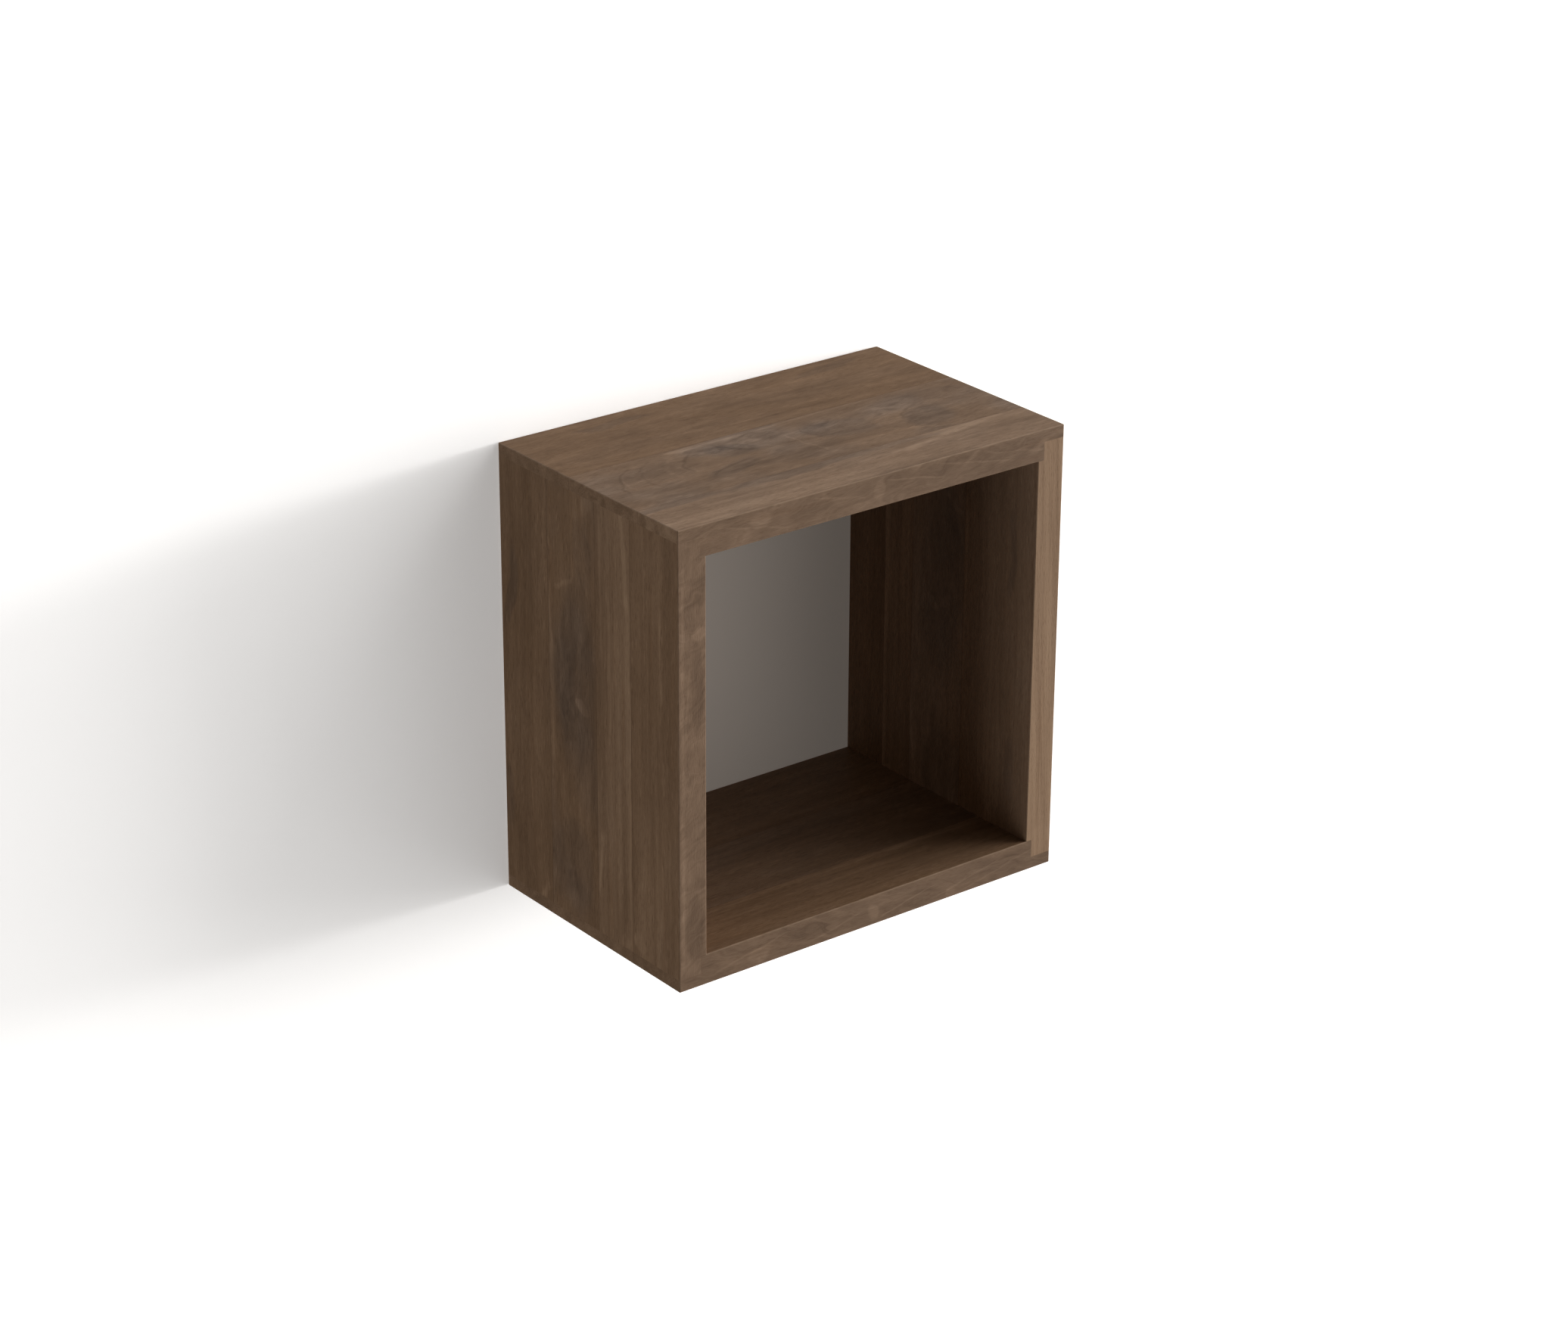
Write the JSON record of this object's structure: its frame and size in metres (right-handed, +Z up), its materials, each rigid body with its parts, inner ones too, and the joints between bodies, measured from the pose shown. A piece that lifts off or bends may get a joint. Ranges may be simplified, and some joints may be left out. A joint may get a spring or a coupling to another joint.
{
  "type": "cube wall shelf",
  "caption": "Open-fronted, open-backed cube wall shelf in solid walnut, glued up from staves, with stepped rebate corners pinned by dowels and keyhole hanger plates in the rear edges.",
  "frame": {"origin": "middle of the underside: the centre of the outer box across and front to back, at the bottom face of the lower board", "axes": "+X to the right seen from the front, +Y from the open front towards the wall, +Z up"},
  "size_m": [0.364, 0.225, 0.369],
  "materials": {
    "walnut": "oiled solid walnut, satin, with straight and curly figure",
    "beech": "raw fluted beech",
    "plate_steel": "zinc-plated pressed steel",
    "screw_steel": "bright zinc-plated steel"
  },
  "bodies": {
    "root": {"top_board_front_stave": "walnut", "top_board_middle_stave": "walnut", "top_board_rear_stave": "walnut", "bottom_board_front_stave": "walnut", "bottom_board_middle_stave": "walnut", "bottom_board_rear_stave": "walnut", "left_side_front_stave": "walnut", "left_side_front_middle_stave": "walnut", "left_side_rear_middle_stave": "walnut", "left_side_rear_stave": "walnut", "right_side_front_stave": "walnut", "right_side_front_middle_stave": "walnut", "right_side_rear_middle_stave": "walnut", "right_side_rear_stave": "walnut", "bottom_left_dowels": "beech", "bottom_right_dowels": "beech", "top_left_dowels": "beech", "top_right_dowels": "beech", "left_keyhole_plate": "plate_steel", "right_keyhole_plate": "plate_steel", "left_hanger_screws": "screw_steel", "right_hanger_screws": "screw_steel"}
  },
  "joints": []
}
